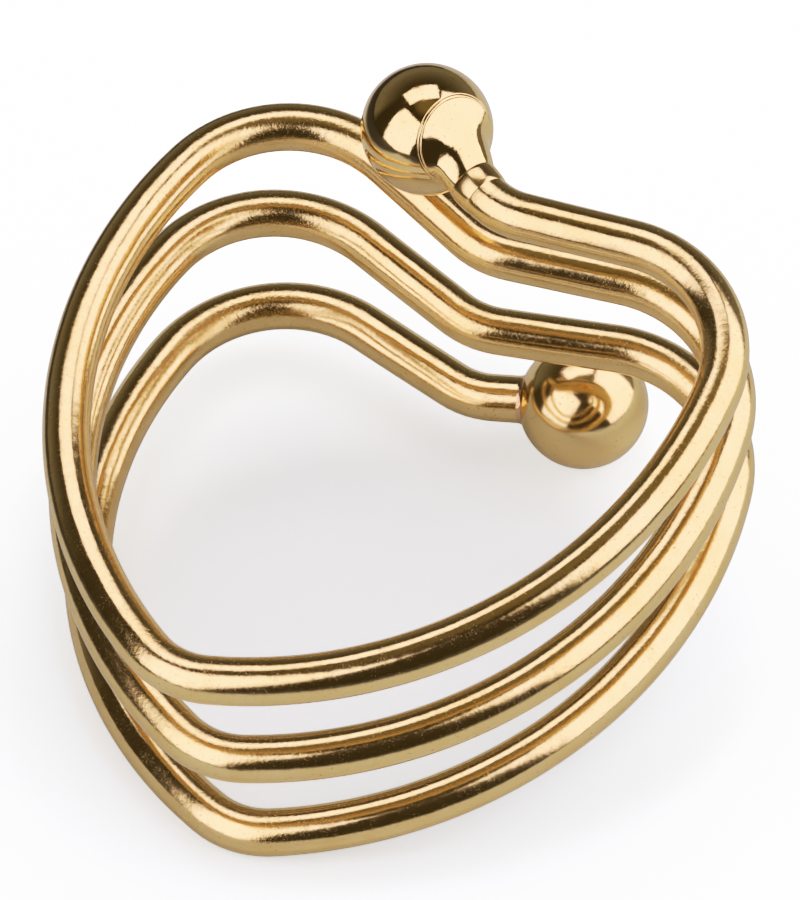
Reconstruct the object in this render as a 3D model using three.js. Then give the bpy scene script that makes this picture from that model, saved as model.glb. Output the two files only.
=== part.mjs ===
// A heart-shaped coil puzzle: one brass rod wound three times round a heart, with a ball brazed
// on each end. Millimetres, +Z up. The coil is designed upright about its winding axis, and then
// leans back until it stands on its lower ball and on the tip of its lowest turn.
// The origin is on that floor, under the middle of the object.
import * as THREE from 'three';

// Rod and balls
const rodDiameter = 5;
const rodSides = 12;
const rodStepLength = 3.6;
const ballDiameter = 13.7;
const assemblyGap = 0.3;

// Plan of one turn: the notch is at the back (+Y), the tip at the front (-Y), both on X = 0
const notchRadius = 9;
const notchAngle = radians(16);
const flankLength = 12;
const lobeRadius = 14.25;
const lobeAngle = radians(94);
const sideAngle = radians(79.5);
const tipRadius = 9.5;
const tipAngle = Math.PI + notchAngle - lobeAngle - sideAngle;

// Winding: how the plan repeats down the coil, as one turn is wound on under another
const turns = 3;
const pitch = 16.5;
const twistPerTurn = radians(4.4);
const twistBow = radians(-1.1);
const swellBow = -0.01;
const lobeLiftBow = 0.07;

// Ends: the rod bends on for a short tail past the notch, turns a little aside, and then runs
// straight to the ball's centre. The first and last turn are pulled sideways as well.
const topTail = 2.5;
const topTurn = radians(-4.3);
const topStraight = 10.5;
const bottomTail = 2.9;
const bottomTurn = radians(-1);
const bottomStraight = 9;
const topPull = new THREE.Vector2(1.75, -3.2);
const bottomPull = new THREE.Vector2(-1.1, 1.85);

// Standing pose of the finished coil
const leanBack = radians(10.95);
const leanSideways = radians(1.35);

// Sockets, the top ball's neck and the brazed joints. Heights are from the ball's centre.
const tenonEnd = 1;
const socketRadius = rodDiameter / 2 + assemblyGap;
const bottomSocketFloor = 0;
const neckRingRadius = 4.3;
const neckMouthRadius = 3.4;
const neckMouthHeight = ballDiameter / 2 + 2;
const topSocketFloor = 0;
const brazeHeight = 1.2;
const brazeEdge = 0.15;
const bottomBrazeWidth = 1.3;
const roundSegments = 28;

function radians(degrees) {
  return THREE.MathUtils.degToRad(degrees);
}

// The right half of the heart, from notch to tip, as arcs of signed curvature (left turns are +)
function halfOutline(sideRadius) {
  return [
    { length: notchRadius * notchAngle, curvature: 1 / notchRadius },
    { length: flankLength, curvature: 0 },
    { length: lobeRadius * lobeAngle, curvature: -1 / lobeRadius },
    { length: sideRadius * sideAngle, curvature: -1 / sideRadius },
    { length: tipRadius * tipAngle, curvature: -1 / tipRadius },
  ];
}

// Walks along the outline from the notch at (0, 0), heading along +X
function walk(outline, distance) {
  const point = new THREE.Vector2();
  let heading = 0;
  let left = distance;
  for (const { length, curvature } of outline) {
    const step = Math.min(left, length);
    const next = heading + step * curvature;
    if (curvature === 0) {
      point.x += step * Math.cos(heading);
      point.y += step * Math.sin(heading);
    } else {
      point.x += (Math.sin(next) - Math.sin(heading)) / curvature;
      point.y += (Math.cos(heading) - Math.cos(next)) / curvature;
    }
    heading = next;
    left -= step;
  }
  return point;
}

function outlineLength(outline) {
  return outline.reduce((sum, arc) => sum + arc.length, 0);
}

// The side radius is the one that brings the tip back onto X = 0, on which it depends linearly
function closingSideRadius() {
  const tipX = (sideRadius) => {
    const outline = halfOutline(sideRadius);
    return walk(outline, outlineLength(outline)).x;
  };
  const [low, high] = [10, 20];
  return low - tipX(low) * (high - low) / (tipX(high) - tipX(low));
}

const half = halfOutline(closingSideRadius());
const halfLength = outlineLength(half);
const turnLength = 2 * halfLength;
const heartHeight = -walk(half, halfLength).y;

// A point of the plan, at a distance along the closed heart, with the middle of its height at Y = 0
function planPoint(distance) {
  const along = THREE.MathUtils.euclideanModulo(distance, turnLength);
  const onRight = along <= halfLength;
  const point = walk(half, onRight ? along : turnLength - along);
  return new THREE.Vector2(onRight ? point.x : -point.x, point.y + heartHeight / 2);
}

// How far an end's pull has faded, `away` turns from that end
function fade(away) {
  const near = THREE.MathUtils.clamp(1 - away, 0, 1);
  return away < 0 ? 1 : near * near * (3 - 2 * near);
}

// A point of the rod's centre line, at a distance from the first turn's notch
function coilPoint(distance) {
  const turn = distance / turnLength;
  const fromMiddle = turn - turns / 2;
  const bow = fromMiddle * fromMiddle - 0.75;
  const plan = planPoint(distance)
    .rotateAround(new THREE.Vector2(), twistPerTurn * fromMiddle + twistBow * bow)
    .multiplyScalar(1 + swellBow * bow);
  const height = -pitch * fromMiddle + lobeLiftBow * bow * plan.x;
  plan.addScaledVector(topPull, fade(turn));
  plan.addScaledVector(bottomPull, fade(turns - turn));
  return new THREE.Vector3(plan.x, plan.y, height);
}

// One end of the rod: where its bends start, the way out of the ball, and the ball's centre
function rodEnd(distance, inward, turnAside, straight) {
  const nudge = 0.5;
  const winding = new THREE.Vector3(0, 0, 1);
  const point = coilPoint(distance);
  const direction = coilPoint(distance + inward * nudge).sub(point).normalize();
  direction.applyAxisAngle(winding, turnAside);
  return { point, direction, ballCentre: point.clone().addScaledVector(direction, -straight) };
}

const topDistance = -topTail;
const bottomDistance = turns * turnLength + bottomTail;
const topEnd = rodEnd(topDistance, 1, topTurn, topStraight);
const bottomEnd = rodEnd(bottomDistance, -1, bottomTurn, bottomStraight);

// The rod's centre line, with the straight end at each side that goes into the ball's socket
class RodPath extends THREE.Curve {
  constructor(floorNormal) {
    super();
    this.floorNormal = floorNormal;
    this.topLength = topStraight - tenonEnd;
    this.bottomLength = bottomStraight - tenonEnd;
    this.bentLength = bottomDistance - topDistance;
    this.fullLength = this.topLength + this.bentLength + this.bottomLength;
    this.arcLengthDivisions = 1500;
  }

  getPoint(share, target = new THREE.Vector3()) {
    const distance = share * this.fullLength - this.topLength;
    if (distance < 0) {
      return target.copy(topEnd.point).addScaledVector(topEnd.direction, distance);
    }
    if (distance > this.bentLength) {
      return target.copy(bottomEnd.point).addScaledVector(bottomEnd.direction, this.bentLength - distance);
    }
    return target.copy(coilPoint(topDistance + distance));
  }

  // The section never rolls: one of its flats always faces the floor
  computeFrenetFrames(segments) {
    const frames = { tangents: [], normals: [], binormals: [] };
    for (let i = 0; i <= segments; i += 1) {
      const tangent = this.getTangentAt(i / segments);
      const binormal = new THREE.Vector3().crossVectors(tangent, this.floorNormal).normalize();
      frames.tangents.push(tangent);
      frames.binormals.push(binormal);
      frames.normals.push(new THREE.Vector3().crossVectors(binormal, tangent));
    }
    return frames;
  }
}

// A regular polygon with a flat facing each axis, and the area of the round rod
function rodSection() {
  const wedge = 2 * Math.PI / rodSides;
  const cornerRadius = rodDiameter / 2 * Math.sqrt(wedge / Math.sin(wedge));
  const corners = [];
  for (let i = 0; i < rodSides; i += 1) {
    const angle = (i + 0.5) * wedge;
    corners.push(new THREE.Vector2(Math.cos(angle), Math.sin(angle)).multiplyScalar(cornerRadius));
  }
  return new THREE.Shape(corners);
}

function brass(color, roughness) {
  return new THREE.MeshStandardMaterial({ color, roughness, metalness: 1 });
}

function namedMesh(name, geometry, material) {
  const mesh = new THREE.Mesh(geometry, material);
  mesh.name = name;
  return mesh;
}

function heartCoil(floorNormal) {
  const path = new RodPath(floorNormal);
  const geometry = new THREE.ExtrudeGeometry(rodSection(), {
    extrudePath: path,
    steps: Math.round(path.fullLength / rodStepLength),
  });
  return namedMesh('heart_coil', geometry, brass(0xc9a25a, 0.14));
}

// Points of a round lathe profile about its centre, from one polar angle to another
function profileArc(radius, from, to, count) {
  const points = [];
  for (let i = 0; i <= count; i += 1) {
    const angle = from + (to - from) * i / count;
    points.push(new THREE.Vector2(Math.cos(angle), Math.sin(angle)).multiplyScalar(radius));
  }
  return points;
}

// A ball turned about Y, with its socket opening at +Y. The wall between ball and socket is `mouth`.
function ballGeometry(rimAngle, mouth, socketFloor) {
  const profile = [
    ...profileArc(ballDiameter / 2, -Math.PI / 2, rimAngle, roundSegments / 2),
    ...mouth,
    new THREE.Vector2(socketRadius, socketFloor),
    new THREE.Vector2(0, socketFloor),
  ];
  profile[0].x = 0;
  return new THREE.LatheGeometry(profile, roundSegments);
}

// The top ball was turned with a neck, which tapers from a ring on the ball to a narrow mouth
function topBall() {
  const rimAngle = Math.acos(neckRingRadius / (ballDiameter / 2));
  const mouth = [
    new THREE.Vector2(neckMouthRadius, neckMouthHeight),
    new THREE.Vector2(socketRadius, neckMouthHeight),
  ];
  const geometry = ballGeometry(rimAngle, mouth, topSocketFloor);
  return alongRod(namedMesh('top_ball', geometry, brass(0xc7a05c, 0.1)), topEnd);
}

// The bottom ball has no neck: its socket is bored straight into the round of the ball
function bottomBall() {
  const rimAngle = Math.acos(socketRadius / (ballDiameter / 2));
  const geometry = ballGeometry(rimAngle, [], bottomSocketFloor);
  return alongRod(namedMesh('bottom_ball', geometry, brass(0xc7a05c, 0.1)), bottomEnd);
}

// Brazing metal in the corner between rod and ball: a ring with a hollow outer side. `innerFoot`
// and `outerFoot` are its lower corners, both a gap clear of the ball.
function brazeRing(name, innerFoot, outerFoot, end) {
  const top = innerFoot.y + brazeHeight;
  const edge = new THREE.Vector2(socketRadius + brazeEdge, top);
  const corner = new THREE.Vector2(edge.x, innerFoot.y);
  const hollowSide = new THREE.QuadraticBezierCurve(outerFoot, corner, edge);
  const profile = [
    innerFoot,
    ...hollowSide.getPoints(6),
    new THREE.Vector2(socketRadius, top),
    innerFoot.clone(),
  ];
  const geometry = new THREE.LatheGeometry(profile, roundSegments);
  return alongRod(namedMesh(name, geometry, brass(0xb98f63, 0.3)), end);
}

function topBraze() {
  const foot = neckMouthHeight + assemblyGap;
  const innerFoot = new THREE.Vector2(socketRadius, foot);
  const outerFoot = new THREE.Vector2(neckMouthRadius, foot);
  return brazeRing('top_braze_ring', innerFoot, outerFoot, topEnd);
}

function bottomBraze() {
  const clearRadius = ballDiameter / 2 + assemblyGap;
  const onClearance = (x) => new THREE.Vector2(x, Math.sqrt(clearRadius ** 2 - x ** 2));
  const outerRadius = socketRadius + bottomBrazeWidth;
  return brazeRing('bottom_braze_ring', onClearance(socketRadius), onClearance(outerRadius), bottomEnd);
}

// Places a turned piece on its ball's centre, so that its +Y leaves the ball along the rod
function alongRod(mesh, end) {
  mesh.quaternion.setFromUnitVectors(new THREE.Vector3(0, 1, 0), end.direction);
  mesh.position.copy(end.ballCentre);
  return mesh;
}

// Stands the assembly on the floor, Z = 0, with the middle of its box on the Z axis
function standOnFloor(assembly) {
  assembly.updateMatrixWorld(true);
  const box = new THREE.Box3().setFromObject(assembly, true);
  const middle = box.getCenter(new THREE.Vector3());
  assembly.position.set(-middle.x, -middle.y, -box.min.z);
  assembly.updateMatrixWorld(true);
  return assembly;
}

const coil = new THREE.Group();
coil.rotation.set(leanBack, leanSideways, 0);
const floorNormal = new THREE.Vector3(0, 0, 1).applyQuaternion(coil.quaternion.clone().invert());
coil.add(heartCoil(floorNormal), topBall(), topBraze(), bottomBall(), bottomBraze());

const puzzle = new THREE.Group();
puzzle.add(coil);
standOnFloor(puzzle);

export default puzzle;
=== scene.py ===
import math

import bmesh
import bpy
import numpy as np
from mathutils import Matrix, Vector

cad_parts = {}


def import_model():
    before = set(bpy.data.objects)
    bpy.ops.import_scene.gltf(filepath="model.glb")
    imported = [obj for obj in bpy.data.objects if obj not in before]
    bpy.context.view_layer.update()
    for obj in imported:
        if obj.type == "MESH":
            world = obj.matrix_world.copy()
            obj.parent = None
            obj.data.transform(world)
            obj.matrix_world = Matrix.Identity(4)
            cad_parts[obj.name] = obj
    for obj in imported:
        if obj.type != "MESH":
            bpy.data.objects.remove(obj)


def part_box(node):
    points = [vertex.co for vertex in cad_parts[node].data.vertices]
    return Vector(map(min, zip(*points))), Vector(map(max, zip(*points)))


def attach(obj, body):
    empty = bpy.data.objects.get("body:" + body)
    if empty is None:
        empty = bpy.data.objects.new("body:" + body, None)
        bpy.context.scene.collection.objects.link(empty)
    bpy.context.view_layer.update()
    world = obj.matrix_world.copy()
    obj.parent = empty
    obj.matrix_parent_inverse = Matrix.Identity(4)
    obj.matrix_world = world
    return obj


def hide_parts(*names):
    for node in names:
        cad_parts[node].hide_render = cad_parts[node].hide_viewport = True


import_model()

MM = 0.001
SCENE = bpy.context.scene
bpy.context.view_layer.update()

# The rod, the balls and one turn of the heart, as in the CAD model, in millimetres
ROD_RADIUS = 2.5
BALL_RADIUS = 6.85
NOTCH_RADIUS = 9.0
NOTCH_ANGLE = math.radians(16)
FLANK_LENGTH = 12.0
LOBE_RADIUS = 14.25
LOBE_ANGLE = math.radians(94)
SIDE_ANGLE = math.radians(79.5)
TIP_RADIUS = 9.5
TIP_ANGLE = math.pi + NOTCH_ANGLE - LOBE_ANGLE - SIDE_ANGLE

# The winding, the pulled ends and the standing pose
TURNS = 3
PITCH = 16.5
TWIST_PER_TURN = math.radians(4.4)
TWIST_BOW = math.radians(-1.1)
SWELL_BOW = -0.01
LOBE_LIFT_BOW = 0.07
TOP_TAIL = 2.5
TOP_TURN = math.radians(-4.3)
TOP_STRAIGHT = 10.5
BOTTOM_TAIL = 2.9
BOTTOM_TURN = math.radians(-1)
BOTTOM_STRAIGHT = 9.0
TOP_PULL = Vector((1.75, -3.2))
BOTTOM_PULL = Vector((-1.1, 1.85))
LEAN_BACK = math.radians(10.95)
LEAN_SIDEWAYS = math.radians(1.35)
LEAN = Matrix.Rotation(LEAN_BACK, 3, "X") @ Matrix.Rotation(LEAN_SIDEWAYS, 3, "Y")
BOW_MEAN = TURNS ** 2 / 12
DIRECTION_STEP = 0.5

# Each end of the rod stops inside its ball, at this height from the ball's centre
TENON_END = 3.0

# How far hand bending leaves the rod uneven along its length, and out of round in its bends
SWELL_SHARE = 0.004
SWELL_WAVELENGTH = 23.0
SWELL_SEED = 5
FLAT_PER_BEND = 0.10
FLAT_ACROSS = 0.35
FLAT_TALL = 0.15

# How its marks fade: rows that ease a bend, the part of a bend's wear that is only on its inside,
# and how far from the ball, in millimetres, the brazing heat still tints
BEND_EASE = 4
INSIDE_SHARE = 0.25
HEAT_REACH = 4.0

# The neck side of the top ball was turned flatter, inside a ring, and is tilted from the rod
NECK_TILT = math.radians(31.6)
NECK_SWING = math.radians(4.4)
NECK_RING_ANGLE = math.radians(39.9)
COLLAR_HEIGHT = 8.3
COLLAR_RADIUS = 2.62
NECK_HOLLOW = 0.38
TURNING_RIPPLE = 0.0008
TURNING_MARKS = 9
RING_GROOVES = ((0.9, 0.05), (3.6, 0.045))
GROOVE_WIDTH = math.radians(0.45)

# With this factor, the curve share * (1 - share) ** 2 peaks at 1
HOLLOW_SCALE = 27 / 4

# The brazing metal, as heights from the ball's centre and radii about the rod
COLLAR_FOOT = 7.9
COLLAR_TOP = 10.7
COLLAR_OUTLINE = (
    (2.5, COLLAR_FOOT), (2.66, 8.2), (2.7, 8.6), (2.68, 9.3),
    (2.63, 10.0), (2.54, 10.5), (2.4, COLLAR_TOP),
)
FILLET_FOOT = 6.0
FILLET_RISE = 1.5
FILLET_TOP = 7.6
FILLET_TOP_RADIUS = 2.3
FILLET_WAIST = 2.485
FILLET_FLARE = 0.5
FILLET_STEPS = 16

# The softboxes' radiance and colour, and the picture's tone: light values and how they show
SOFTBOX_RADIANCE = 1.6
SOFTBOX_COLOUR = (1.07, 1.0, 1.22)
DISPLAY_GAMMA = 0.75
WHITE_LIGHT = 2.0
SHOULDER = ((0.5, 0.5), (0.65, 0.62), (1.15, 0.87), (1.5, 0.98))
COMBINED_CURVE = 3

# The room that the brass reflects, by height (the Z of a direction) and by how far towards the back
ROOM_DARK = (0.082, 0.067, 0.034)
ROOM_SWEEP = (0.27, 0.255, 0.22)
ROOM_CEILING = (0.27, 0.22, 0.12)
SWEEP_DIRECTION = (-0.468, 0.884, 0)
SWEEP_HEIGHTS = (0.12, 0.72)
SWEEP_SIDES = (0.25, 0.45)
CEILING_HEIGHTS = (0.92, 0.985)

# The paper: what the camera and near reflections see, the painted shade that reflections find past two
# straight lines, and the painted glow that whitens it for the camera, weaker near the object
FLOOR_COLOUR = (0.77, 0.838, 0.81)
# Painted light: a glow that only the camera sees, which whitens the paper. It is weaker near the paper's
# middle, under the object, where the greyer paper is painted shade
PAINTED_GLOW_NEAR = 0.54
PAINTED_GLOW_FAR = 1.25
PAINTED_GLOW_FROM = 0.026
PAINTED_GLOW_TO = 0.060
# Painted shade: the dark colour that the paper takes, in reflections only, past the two straight lines
# below
FLOOR_SHADE = (0.03, 0.025, 0.01)
FLOOR_SHADE_MOST = 0.9
FLOOR_REACH = 0.62
PAINTED_SHADE_EDGES = (((-1, 0, 0), 0.10, 0.14), ((0.707, -0.707, 0), 0.12, 0.18))

# Brass colours
CLEAN_BRASS = (0.92, 0.70, 0.355)
TARNISHED_BRASS = (0.89, 0.66, 0.30)
WARM_BRASS = (0.87, 0.64, 0.29)
SPECK_COLOUR = (0.40, 0.24, 0.09)
HEAT_COLOUR = (0.72, 0.47, 0.36)
STAIN_COLOUR = (0.72, 0.47, 0.34)

# Noise scales, in cells per metre, and bump heights in metres
CLOUD_SCALE = 170
BLOTCH_SCALE = 620
PEEL_SCALE = 2600
SPECK_SCALE = 3600
PIT_SCALE = 5200
CLOUD_BUMP = 0.0004
PEEL_BUMP = 0.00008
STRAIGHT_PEEL = 0.07

# How fine the meshes are
ROD_STEP = 0.9
ROD_SIDES = 56
ROUND_SIDES = 128
BALL_STEPS = 220
LOFT_RINGS = 72
COARSE_STEP = math.radians(3)
COARSE_STEPS = 43
FINE_STEP = math.radians(0.2)
FINE_STEPS = 399
FLOOR_RINGS = 24
FLOOR_SIDES = 96


# ---------------------------------------------------------------- the coil's path

def half_outline(side_radius):
    """Arcs of the right half of the heart, notch to tip, as (length, signed curvature)."""
    return [
        (NOTCH_RADIUS * NOTCH_ANGLE, 1 / NOTCH_RADIUS),
        (FLANK_LENGTH, 0.0),
        (LOBE_RADIUS * LOBE_ANGLE, -1 / LOBE_RADIUS),
        (side_radius * SIDE_ANGLE, -1 / side_radius),
        (TIP_RADIUS * TIP_ANGLE, -1 / TIP_RADIUS),
    ]


def outline_length(outline):
    return sum(length for length, _ in outline)


def walk(outline, distance):
    """The point reached, and the signed curvature there."""
    x = y = heading = 0.0
    left = distance
    bend = 0.0
    for length, curvature in outline:
        step = min(left, length)
        turned = heading + step * curvature
        if curvature == 0:
            x += step * math.cos(heading)
            y += step * math.sin(heading)
        else:
            x += (math.sin(turned) - math.sin(heading)) / curvature
            y += (math.cos(heading) - math.cos(turned)) / curvature
        if step > 0:
            bend = curvature
        heading = turned
        left -= step
    return x, y, bend


def closing_side_radius():
    """The side radius that brings the tip back onto X = 0, on which it depends linearly."""
    low, high = 10.0, 20.0
    x_low, x_high = (walk(half_outline(r), outline_length(half_outline(r)))[0] for r in (low, high))
    return low - x_low * (high - low) / (x_high - x_low)


HALF = half_outline(closing_side_radius())
HALF_LENGTH = outline_length(HALF)
TURN_LENGTH = 2 * HALF_LENGTH
HEART_HEIGHT = -walk(HALF, HALF_LENGTH)[1]


def fade(away):
    """1 before the start, easing down to 0 at one turn away."""
    near = min(max(1 - away, 0.0), 1.0)
    return 1.0 if away < 0 else near * near * (3 - 2 * near)


def coil_point(distance):
    """A point of the rod's centre line in the upright coil, and the plan's curvature there."""
    along = distance % TURN_LENGTH
    on_right = along <= HALF_LENGTH
    x, y, bend = walk(HALF, along if on_right else TURN_LENGTH - along)
    plan = Vector((x if on_right else -x, y + HEART_HEIGHT / 2))
    turn = distance / TURN_LENGTH
    from_middle = turn - TURNS / 2
    bow = from_middle ** 2 - BOW_MEAN
    angle = TWIST_PER_TURN * from_middle + TWIST_BOW * bow
    plan = Matrix.Rotation(angle, 2) @ plan * (1 + SWELL_BOW * bow)
    height = -PITCH * from_middle + LOBE_LIFT_BOW * bow * plan.x
    plan += TOP_PULL * fade(turn) + BOTTOM_PULL * fade(TURNS - turn)
    return Vector((plan.x, plan.y, height)), bend


def rod_end(distance, inward, turn_aside, straight):
    """Where the rod's bends start, the way out of the ball, and the ball's centre."""
    point = coil_point(distance)[0]
    direction = (coil_point(distance + inward * DIRECTION_STEP)[0] - point).normalized()
    direction = Matrix.Rotation(turn_aside, 3, "Z") @ direction
    return point, direction, point - direction * straight


TOP_DISTANCE = -TOP_TAIL
BOTTOM_DISTANCE = TURNS * TURN_LENGTH + BOTTOM_TAIL
TOP_END = rod_end(TOP_DISTANCE, 1, TOP_TURN, TOP_STRAIGHT)
BOTTOM_END = rod_end(BOTTOM_DISTANCE, -1, BOTTOM_TURN, BOTTOM_STRAIGHT)


def rod_path():
    """Evenly spaced centre-line points, tenons included, with each one's bend and distance."""
    length = BOTTOM_DISTANCE - TOP_DISTANCE
    top_straight = TOP_STRAIGHT - TENON_END
    full = top_straight + length + BOTTOM_STRAIGHT - TENON_END
    count = round(full / ROD_STEP)
    rows = []
    for i in range(count + 1):
        at = -top_straight + full * i / count
        if at < 0:
            rows.append((TOP_END[0] + TOP_END[1] * at, 0.0, at))
        elif at > length:
            rows.append((BOTTOM_END[0] - BOTTOM_END[1] * (at - length), 0.0, at))
        else:
            point, bend = coil_point(TOP_DISTANCE + at)
            rows.append((point, bend, at))
    return rows, length


def placing():
    """The move from the upright coil's own origin to the row frame, in millimetres."""
    low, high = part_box("bottom_ball")
    return (low + high) / 2 / MM - LEAN @ BOTTOM_END[2]


SHIFT = placing()


def to_row(point):
    return (LEAN @ point + SHIFT) * MM


def turn_to_row(direction):
    return LEAN @ direction


# ---------------------------------------------------------------- meshes

def new_object(name, vertices, faces):
    mesh = bpy.data.meshes.new(name)
    mesh.from_pydata([tuple(v) for v in vertices], [], faces)
    mesh.validate()
    outward = bmesh.new()
    outward.from_mesh(mesh)
    bmesh.ops.recalc_face_normals(outward, faces=outward.faces)
    outward.to_mesh(mesh)
    outward.free()
    mesh.polygons.foreach_set("use_smooth", [True] * len(mesh.polygons))
    obj = bpy.data.objects.new(name, mesh)
    SCENE.collection.objects.link(obj)
    return obj


def ring_faces(rings, sides, first=0):
    """Quads between successive rings of `sides` vertices."""
    faces = []
    for i in range(rings - 1):
        for j in range(sides):
            a = first + i * sides + j
            b = first + i * sides + (j + 1) % sides
            faces.append((a, b, b + sides, a + sides))
    return faces


def add_attribute(obj, name, values):
    layer = obj.data.attributes.new(name, "FLOAT", "POINT")
    layer.data.foreach_set("value", np.asarray(values, np.float32))


def smooth_noise(distance, wavelength, seed):
    """A gentle wander along the rod, from a few sines that don't repeat together."""
    rng = np.random.default_rng(seed)
    total = 0.0
    for scale in (1.0, 0.61, 0.37):
        phase = rng.uniform(0, 2 * math.pi)
        total += scale * math.sin(2 * math.pi * distance / (wavelength * scale) + phase)
    return total / 2


def eased(values, reach):
    """Each value averaged with its neighbours, so that a bend fades in and out along the rod."""
    result = []
    for i in range(len(values)):
        near = values[max(0, i - reach):i + reach + 1]
        result.append(sum(near) / len(near))
    return result


def heart_rod():
    """The bent rod, very slightly uneven and flattened in its tight bends as hand-bent rod is."""
    rows, length = rod_path()
    points = [LEAN @ row[0] for row in rows]
    bend_here = eased(eased([row[1] for row in rows], BEND_EASE), BEND_EASE)
    vertices, bends, heats = [], [], []
    for i, (_, _, at) in enumerate(rows):
        bend = bend_here[i]
        before = points[max(i - 1, 0)]
        after = points[min(i + 1, len(points) - 1)]
        tangent = (after - before).normalized()
        side = tangent.cross(Vector((0, 0, 1))).normalized()
        up = side.cross(tangent)
        swell = 1 + SWELL_SHARE * smooth_noise(at, SWELL_WAVELENGTH, SWELL_SEED)
        flat = FLAT_PER_BEND * abs(bend)
        from_top = at + TOP_STRAIGHT - BALL_RADIUS
        from_bottom = length - at + BOTTOM_STRAIGHT - BALL_RADIUS
        end_distance = max(0.0, min(from_top, from_bottom))
        for j in range(ROD_SIDES):
            angle = 2 * math.pi * j / ROD_SIDES
            across = ROD_RADIUS * (swell - flat * FLAT_ACROSS)
            tall = ROD_RADIUS * (swell + flat * FLAT_TALL)
            offset = side * (across * math.cos(angle)) + up * (tall * math.sin(angle))
            vertices.append((points[i] + offset + SHIFT) * MM)
            inside = -math.cos(angle) * math.copysign(1, bend) if bend else 0.0
            bends.append(abs(bend) * (1 - INSIDE_SHARE + INSIDE_SHARE * inside))
            heats.append(math.exp(-end_distance / HEAT_REACH))
    faces = ring_faces(len(rows), ROD_SIDES)
    last = (len(rows) - 1) * ROD_SIDES
    faces.append(tuple(range(ROD_SIDES)))
    faces.append(tuple(reversed(range(last, last + ROD_SIDES))))
    rod = new_object("bent_rod", vertices, faces)
    add_attribute(rod, "bend", bends)
    add_attribute(rod, "heat", heats)
    return rod


def axis_matrix(end):
    """Turns +Z onto the way out of the ball, and puts the ball's centre in place, in metres."""
    direction = turn_to_row(end[1])
    turn = direction.to_track_quat("Z", "Y").to_matrix().to_4x4()
    return Matrix.Translation(to_row(end[2])) @ turn


def lathe(name, profile, matrix):
    """Turns a profile of (radius, height) in millimetres about Z. Its ends on the axis are poles."""
    vertices = []
    middle = profile[1:-1]
    for radius, height in middle:
        for j in range(ROUND_SIDES):
            angle = 2 * math.pi * j / ROUND_SIDES
            vertices.append(Vector((radius * math.cos(angle), radius * math.sin(angle), height)))
    faces = ring_faces(len(middle), ROUND_SIDES)
    last = (len(middle) - 1) * ROUND_SIDES
    low = len(vertices)
    high = low + 1
    vertices.append(Vector((0, 0, profile[0][1])))
    vertices.append(Vector((0, 0, profile[-1][1])))
    faces += [((j + 1) % ROUND_SIDES, j, low) for j in range(ROUND_SIDES)]
    faces += [(last + j, last + (j + 1) % ROUND_SIDES, high) for j in range(ROUND_SIDES)]
    return new_object(name, [matrix @ (v * MM) for v in vertices], faces)


def ball_profile():
    """A full ball, from bottom to top."""
    angles = [math.pi - math.pi * i / BALL_STEPS for i in range(BALL_STEPS + 1)]
    return [(BALL_RADIUS * math.sin(angle), BALL_RADIUS * math.cos(angle)) for angle in angles]


def neck_axis():
    """The axis of the top ball's turned side, and the rod's way out, both in the row frame."""
    rod = turn_to_row(TOP_END[1])
    level = Vector((-rod.y, rod.x, 0)).normalized()
    tilted = Matrix.Rotation(-NECK_TILT, 3, level) @ rod
    return Matrix.Rotation(NECK_SWING, 3, "Z") @ tilted, rod


def groove_depth(angle):
    """Two thin grooves turned at the ring, as a function of the angle from the neck's axis."""
    depth = 0.0
    for beyond, deep in RING_GROOVES:
        middle = NECK_RING_ANGLE + math.radians(beyond)
        depth += deep * math.exp(-((angle - middle) / GROOVE_WIDTH) ** 2)
    return depth


def top_ball_mesh():
    """The ball up to its ring, and from there a slanting cone over to the collar round the rod."""
    axis, rod = neck_axis()
    side = axis.cross(rod).normalized()
    ring_out, collar_out = side.cross(axis), side.cross(rod)
    coarse = [math.pi - i * COARSE_STEP for i in range(1, COARSE_STEPS + 1)]
    fine = [coarse[-1] - i * FINE_STEP for i in range(1, FINE_STEPS + 1)]
    polar = coarse + [angle for angle in fine if angle > NECK_RING_ANGLE] + [NECK_RING_ANGLE]
    vertices = []
    for angle in polar:
        radius = BALL_RADIUS - groove_depth(angle)
        for j in range(ROUND_SIDES):
            turn = 2 * math.pi * j / ROUND_SIDES
            out = ring_out * math.cos(turn) + side * math.sin(turn)
            vertices.append((axis * math.cos(angle) + out * math.sin(angle)) * radius)
    ring = vertices[-ROUND_SIDES:]
    for i in range(1, LOFT_RINGS + 1):
        share = i / LOFT_RINGS
        hollow = NECK_HOLLOW * HOLLOW_SCALE * share * (1 - share) ** 2
        ripple = TURNING_RIPPLE * math.sin(share * TURNING_MARKS * 2 * math.pi) - hollow
        for j in range(ROUND_SIDES):
            turn = 2 * math.pi * j / ROUND_SIDES
            out = collar_out * math.cos(turn) + side * math.sin(turn)
            collar = rod * COLLAR_HEIGHT + out * COLLAR_RADIUS
            vertices.append(ring[j].lerp(collar, share) + out * ripple)
    last = len(vertices) - ROUND_SIDES
    far_pole = len(vertices)
    neck_pole = far_pole + 1
    faces = ring_faces(len(vertices) // ROUND_SIDES, ROUND_SIDES)
    vertices += [-axis * BALL_RADIUS, rod * COLLAR_HEIGHT]
    faces += [((j + 1) % ROUND_SIDES, j, far_pole) for j in range(ROUND_SIDES)]
    faces += [(last + j, last + (j + 1) % ROUND_SIDES, neck_pole) for j in range(ROUND_SIDES)]
    centre = to_row(TOP_END[2])
    return new_object("neck_ball", [centre + v * MM for v in vertices], faces)


def bottom_ball_mesh():
    return lathe("foot_ball", ball_profile(), axis_matrix(BOTTOM_END))


def collar_mesh():
    """The rounded collar of brazing metal between the top ball's neck and the rod."""
    profile = [(0, COLLAR_FOOT), *COLLAR_OUTLINE, (0, COLLAR_TOP)]
    return lathe("braze_collar", profile, axis_matrix(TOP_END))


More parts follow.
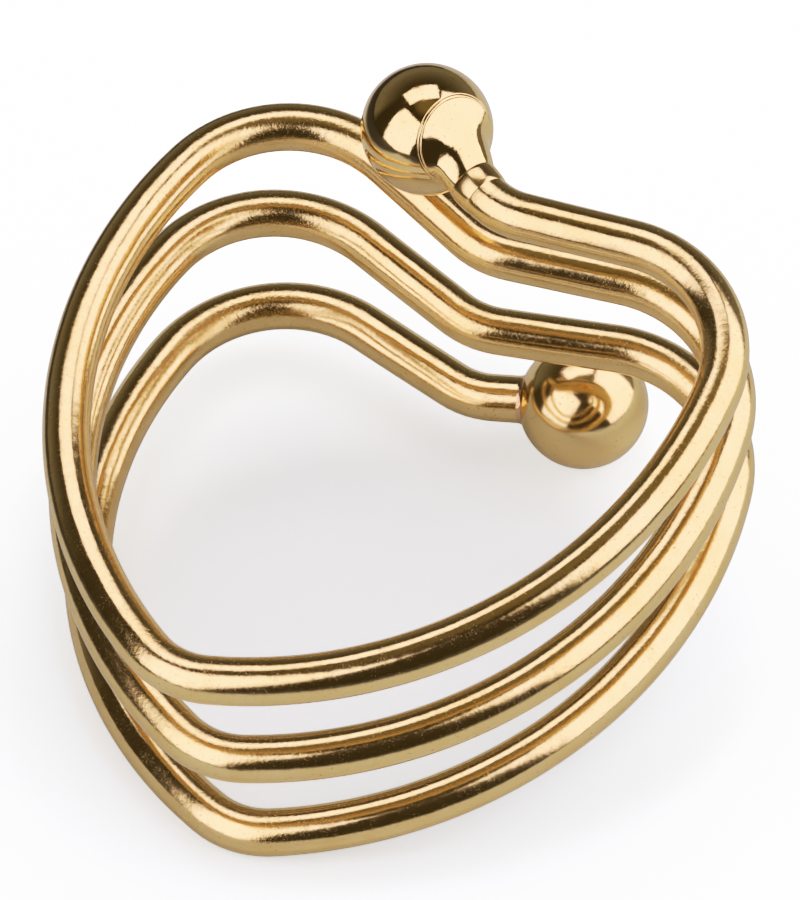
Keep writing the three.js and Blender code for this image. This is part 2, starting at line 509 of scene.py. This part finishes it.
def fillet_mesh():
    """The small flared fillet of brazing metal between the bottom ball and the rod."""
    steps = [i / FILLET_STEPS for i in range(FILLET_STEPS + 1)]
    flare = [(FILLET_WAIST + FILLET_FLARE * (1 - t) ** 4, FILLET_FOOT + FILLET_RISE * t) for t in steps]
    profile = [(0, FILLET_FOOT), *flare, (FILLET_TOP_RADIUS, FILLET_TOP), (0, FILLET_TOP)]
    return lathe("brazed_fillet", profile, axis_matrix(BOTTOM_END))


# ---------------------------------------------------------------- materials

def node_material(name):
    """A material with a principled shader, its nodes and links, and the output's surface input."""
    material = bpy.data.materials.new(name)
    material.use_nodes = True
    nodes, links = material.node_tree.nodes, material.node_tree.links
    nodes.clear()
    surface = nodes.new("ShaderNodeOutputMaterial").inputs["Surface"]
    shader = nodes.new("ShaderNodeBsdfPrincipled")
    links.new(shader.outputs["BSDF"], surface)
    return material, nodes, links, shader, surface


def noise_node(nodes, links, source, scale, detail=2.0, roughness=0.5):
    node = nodes.new("ShaderNodeTexNoise")
    node.inputs["Scale"].default_value = scale
    node.inputs["Detail"].default_value = detail
    node.inputs["Roughness"].default_value = roughness
    links.new(source, node.inputs["Vector"])
    return node.outputs["Fac"]


def remap_node(nodes, links, source, from_low, from_high, to_low, to_high):
    node = nodes.new("ShaderNodeMapRange")
    node.inputs["From Min"].default_value = from_low
    node.inputs["From Max"].default_value = from_high
    node.inputs["To Min"].default_value = to_low
    node.inputs["To Max"].default_value = to_high
    links.new(source, node.inputs["Value"])
    return node.outputs["Result"]


def math_node(nodes, links, operation, first, second):
    node = nodes.new("ShaderNodeMath")
    node.operation = operation
    for socket, value in zip(node.inputs, (first, second)):
        if isinstance(value, (int, float)):
            socket.default_value = value
        else:
            links.new(value, socket)
    return node.outputs["Value"]


def mix_node(nodes, links, factor, first, second):
    node = nodes.new("ShaderNodeMix")
    node.data_type = "RGBA"
    links.new(factor, node.inputs["Factor"])
    for socket, value in ((node.inputs["A"], first), (node.inputs["B"], second)):
        if isinstance(value, tuple):
            socket.default_value = value + (1,)
        else:
            links.new(value, socket)
    return node.outputs["Result"]


def attribute_node(nodes, name):
    node = nodes.new("ShaderNodeAttribute")
    node.attribute_name = name
    return node.outputs["Fac"]


def bump_node(nodes, links, height, strength, distance, under=None):
    node = nodes.new("ShaderNodeBump")
    node.inputs["Distance"].default_value = distance
    links.new(height, node.inputs["Height"])
    if isinstance(strength, float):
        node.inputs["Strength"].default_value = strength
    else:
        links.new(strength, node.inputs["Strength"])
    if under is not None:
        links.new(under, node.inputs["Normal"])
    return node.outputs["Normal"]


def brass_material(name, bent, smooth_roughness, stain=0.0):
    """Polished brass with faint tarnish clouds, specks and, where it was bent, orange peel."""
    material, nodes, links, shader, _ = node_material(name)
    shader.inputs["Metallic"].default_value = 1.0
    where = nodes.new("ShaderNodeTexCoord").outputs["Object"]
    clouds = noise_node(nodes, links, where, CLOUD_SCALE, 3.0)
    blotches = noise_node(nodes, links, where, BLOTCH_SCALE, 3.0, 0.6)
    specks = noise_node(nodes, links, where, SPECK_SCALE, 1.0)
    peel = noise_node(nodes, links, where, PEEL_SCALE, 3.0, 0.7)

    tarnish = remap_node(nodes, links, clouds, 0.42, 0.72, 0.0, 1.0)
    colour = mix_node(nodes, links, tarnish, CLEAN_BRASS, TARNISHED_BRASS)
    warm = remap_node(nodes, links, blotches, 0.56, 0.74, 0.0, 0.6)
    colour = mix_node(nodes, links, warm, colour, WARM_BRASS)
    dots = remap_node(nodes, links, specks, 0.70, 0.76, 0.0, 0.55)
    colour = mix_node(nodes, links, dots, colour, SPECK_COLOUR)
    if bent:
        heat = attribute_node(nodes, "heat")
        patchy = remap_node(nodes, links, blotches, 0.3, 0.7, 0.3, 0.9)
        tint = math_node(nodes, links, "MULTIPLY", heat, patchy)
        colour = mix_node(nodes, links, tint, colour, HEAT_COLOUR)
    if stain:
        cover = remap_node(nodes, links, blotches, 0.3, 0.7, 0.5 * stain, stain)
        colour = mix_node(nodes, links, cover, colour, STAIN_COLOUR)
    links.new(colour, shader.inputs["Base Color"])

    worn_roughness = smooth_roughness + 0.06
    rough = remap_node(nodes, links, blotches, 0.35, 0.75, smooth_roughness, worn_roughness)
    if bent:
        bend = attribute_node(nodes, "bend")
        strained = remap_node(nodes, links, bend, 0.01, 0.13, 0.12, 1.0)
        dulled = math_node(nodes, links, "MULTIPLY", strained, 0.025)
        rough = math_node(nodes, links, "ADD", rough, dulled)
        pits = noise_node(nodes, links, where, PIT_SCALE, 1.0)
        pitted = remap_node(nodes, links, pits, 0.56, 0.70, 0.0, 0.12)
        rough = math_node(nodes, links, "ADD", rough, pitted)
        patches = remap_node(nodes, links, clouds, 0.38, 0.62, 0.35, 1.0)
        strength = math_node(nodes, links, "MULTIPLY", strained, patches)
    else:
        strength = STRAIGHT_PEEL
    links.new(rough, shader.inputs["Roughness"])
    uneven = bump_node(nodes, links, clouds, 0.25, CLOUD_BUMP)
    normal = bump_node(nodes, links, peel, strength, PEEL_BUMP, uneven)
    links.new(normal, shader.inputs["Normal"])
    return material


def floor_material():
    """Pale paper with painted shade past two straight lines, seen only in reflections, and a painted
    glow, weaker near the object, that only the camera sees.
    """
    material, nodes, links, shader, surface = node_material("pale paper")
    place = nodes.new("ShaderNodeNewGeometry").outputs["Position"]
    path = nodes.new("ShaderNodeLightPath")
    shade = 0.0
    # Past each of two straight lines the paper's colour darkens towards FLOOR_SHADE: painted shade,
    # which camera rays don't see
    for edge, start, end in PAINTED_SHADE_EDGES:
        across = nodes.new("ShaderNodeVectorMath")
        across.operation = "DOT_PRODUCT"
        across.inputs[1].default_value = edge
        links.new(place, across.inputs[0])
        past = remap_node(nodes, links, across.outputs["Value"], start, end, 0.0, FLOOR_SHADE_MOST)
        shade = math_node(nodes, links, "MAXIMUM", past, shade)
    lit = math_node(nodes, links, "SUBTRACT", 1.0, shade)
    lit = math_node(nodes, links, "MAXIMUM", lit, path.outputs["Is Camera Ray"])
    paper = mix_node(nodes, links, lit, FLOOR_SHADE, FLOOR_COLOUR)
    links.new(paper, shader.inputs["Base Color"])
    shader.inputs["Roughness"].default_value = 0.9
    shader.inputs["Specular IOR Level"].default_value = 0.2
    # The camera-only glow: painted light on the paper, weaker near its middle so that the paper under
    # the object looks shaded
    length = nodes.new("ShaderNodeVectorMath")
    length.operation = "LENGTH"
    links.new(place, length.inputs[0])
    distance = length.outputs["Value"]
    ends = (PAINTED_GLOW_FROM, PAINTED_GLOW_TO, PAINTED_GLOW_NEAR, PAINTED_GLOW_FAR)
    painted_glow = remap_node(nodes, links, distance, *ends)
    strength = math_node(nodes, links, "MULTIPLY", painted_glow, path.outputs["Is Camera Ray"])
    glow = nodes.new("ShaderNodeEmission")
    both = nodes.new("ShaderNodeAddShader")
    links.new(strength, glow.inputs["Strength"])
    links.new(shader.outputs["BSDF"], both.inputs[0])
    links.new(glow.outputs["Emission"], both.inputs[1])
    links.new(both.outputs["Shader"], surface)
    return material


# ---------------------------------------------------------------- set

def floor():
    """A round sheet of paper under the object."""
    vertices = [Vector((0, 0, 0))]
    for i in range(1, FLOOR_RINGS + 1):
        for j in range(FLOOR_SIDES):
            angle = 2 * math.pi * j / FLOOR_SIDES
            out = Vector((math.cos(angle), math.sin(angle), 0))
            vertices.append(out * FLOOR_REACH * i / FLOOR_RINGS)
    faces = [(0, 1 + j, 1 + (j + 1) % FLOOR_SIDES) for j in range(FLOOR_SIDES)]
    faces += ring_faces(FLOOR_RINGS, FLOOR_SIDES, 1)
    obj = new_object("studio_floor", vertices, faces)
    obj.data.materials.append(floor_material())


def softbox(name, azimuth, elevation, distance, width, height, turn=0.0):
    """A rectangular light that faces the object. Angles in degrees, azimuth 0 on the -Y side."""
    data = bpy.data.lights.new(name, "AREA")
    data.shape = "RECTANGLE"
    data.size = width
    data.size_y = height
    data.color = SOFTBOX_COLOUR
    data.energy = SOFTBOX_RADIANCE * math.pi * width * height
    obj = bpy.data.objects.new(name, data)
    SCENE.collection.objects.link(obj)
    a, e = math.radians(azimuth), math.radians(elevation)
    away = Vector((math.sin(a) * math.cos(e), -math.cos(a) * math.cos(e), math.sin(e)))
    spin = Matrix.Rotation(math.radians(turn), 4, "Z")
    facing = away.to_track_quat("Z", "Y").to_matrix().to_4x4()
    obj.matrix_world = Matrix.Translation(away * distance) @ facing @ spin
    obj.visible_camera = False


def world():
    """White to the camera. To everything else, a dark room with a pale sweep and a faint ceiling."""
    w = bpy.data.worlds.new("studio air")
    SCENE.world = w
    w.use_nodes = True
    nodes, links = w.node_tree.nodes, w.node_tree.links
    nodes.clear()
    output = nodes.new("ShaderNodeOutputWorld")
    seen = nodes.new("ShaderNodeBackground")
    room = nodes.new("ShaderNodeBackground")
    mix = nodes.new("ShaderNodeMixShader")
    path = nodes.new("ShaderNodeLightPath")
    where = nodes.new("ShaderNodeTexCoord")
    split = nodes.new("ShaderNodeSeparateXYZ")
    behind = nodes.new("ShaderNodeVectorMath")
    behind.operation = "DOT_PRODUCT"
    behind.inputs[1].default_value = SWEEP_DIRECTION
    links.new(where.outputs["Generated"], split.inputs["Vector"])
    links.new(where.outputs["Generated"], behind.inputs[0])
    height = split.outputs["Z"]
    low = remap_node(nodes, links, height, *SWEEP_HEIGHTS, 1.0, 0.0)
    back = remap_node(nodes, links, behind.outputs["Value"], *SWEEP_SIDES, 0.0, 1.0)
    sweep = math_node(nodes, links, "MULTIPLY", low, back)
    ceiling = remap_node(nodes, links, height, *CEILING_HEIGHTS, 0.0, 1.0)
    walls = mix_node(nodes, links, sweep, ROOM_DARK, ROOM_SWEEP)
    links.new(mix_node(nodes, links, ceiling, walls, ROOM_CEILING), room.inputs["Color"])
    seen.inputs["Color"].default_value = (1, 1, 1, 1)
    seen.inputs["Strength"].default_value = WHITE_LIGHT
    links.new(path.outputs["Is Camera Ray"], mix.inputs["Fac"])
    links.new(room.outputs["Background"], mix.inputs[1])
    links.new(seen.outputs["Background"], mix.inputs[2])
    links.new(mix.outputs["Shader"], output.inputs["Surface"])


def tone():
    """A printed picture's contrast, with an easy shoulder over the highlights."""
    view = SCENE.view_settings
    view.view_transform = "Standard"
    view.gamma = DISPLAY_GAMMA
    view.use_curve_mapping = True
    mapping = view.curve_mapping
    mapping.white_level = (WHITE_LIGHT, WHITE_LIGHT, WHITE_LIGHT)
    curve = mapping.curves[COMBINED_CURVE]
    for light, shown in SHOULDER:
        curve.points.new(light / WHITE_LIGHT, shown)
    for point in curve.points:
        point.handle_type = "VECTOR"
    mapping.update()


def camera():
    """A distant, nearly straight view down over the front right of the heart's tip."""
    azimuth, elevation, roll = math.radians(27.94), math.radians(47.935), math.radians(0.172)
    distance, focal_length = 1.8286, 709.1
    aim_right, aim_up = 5.524, 6.944
    back = Vector((
        math.sin(azimuth) * math.cos(elevation),
        -math.cos(azimuth) * math.cos(elevation),
        math.sin(elevation),
    ))
    level = Vector((math.cos(azimuth), math.sin(azimuth), 0))
    right = level * math.cos(roll) + back.cross(level) * math.sin(roll)
    up = back.cross(right)
    aim = to_row(Vector()) + (right * aim_right + up * aim_up) * MM
    data = bpy.data.cameras.new("camera")
    data.lens = focal_length
    data.sensor_width = 36
    data.clip_start = 0.1
    data.clip_end = 10
    obj = bpy.data.objects.new("camera", data)
    SCENE.collection.objects.link(obj)
    place = aim + back * distance
    obj.matrix_world = Matrix((
        (right.x, up.x, back.x, place.x),
        (right.y, up.y, back.y, place.y),
        (right.z, up.z, back.z, place.z),
        (0, 0, 0, 1),
    ))
    SCENE.camera = obj


def finish_piece(piece, node, material):
    piece.data.materials.append(material)
    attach(piece, "root")
    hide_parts(node)


rod_brass = brass_material("bent brass rod", bent=True, smooth_roughness=0.12)
ball_brass = brass_material("turned brass", bent=False, smooth_roughness=0.06)
braze_brass = brass_material("brazing brass", bent=False, smooth_roughness=0.16)
dull_brass = brass_material("dulled brass ball", bent=False, smooth_roughness=0.12)
stained_brass = brass_material("stained braze", bent=False, smooth_roughness=0.14, stain=0.6)
finish_piece(heart_rod(), "heart_coil", rod_brass)
finish_piece(top_ball_mesh(), "top_ball", ball_brass)
finish_piece(bottom_ball_mesh(), "bottom_ball", dull_brass)
finish_piece(collar_mesh(), "top_braze_ring", braze_brass)
finish_piece(fillet_mesh(), "bottom_braze_ring", stained_brass)

floor()
softbox("overhead softbox", -135.2, 65.6, distance=0.55, width=0.45, height=0.236, turn=-2)
softbox("left softbox", -24, 31.5, distance=0.65, width=0.68, height=0.79, turn=-3)
softbox("right softbox", 107.5, 36.5, distance=0.65, width=1.03, height=0.95)
world()
camera()
tone()
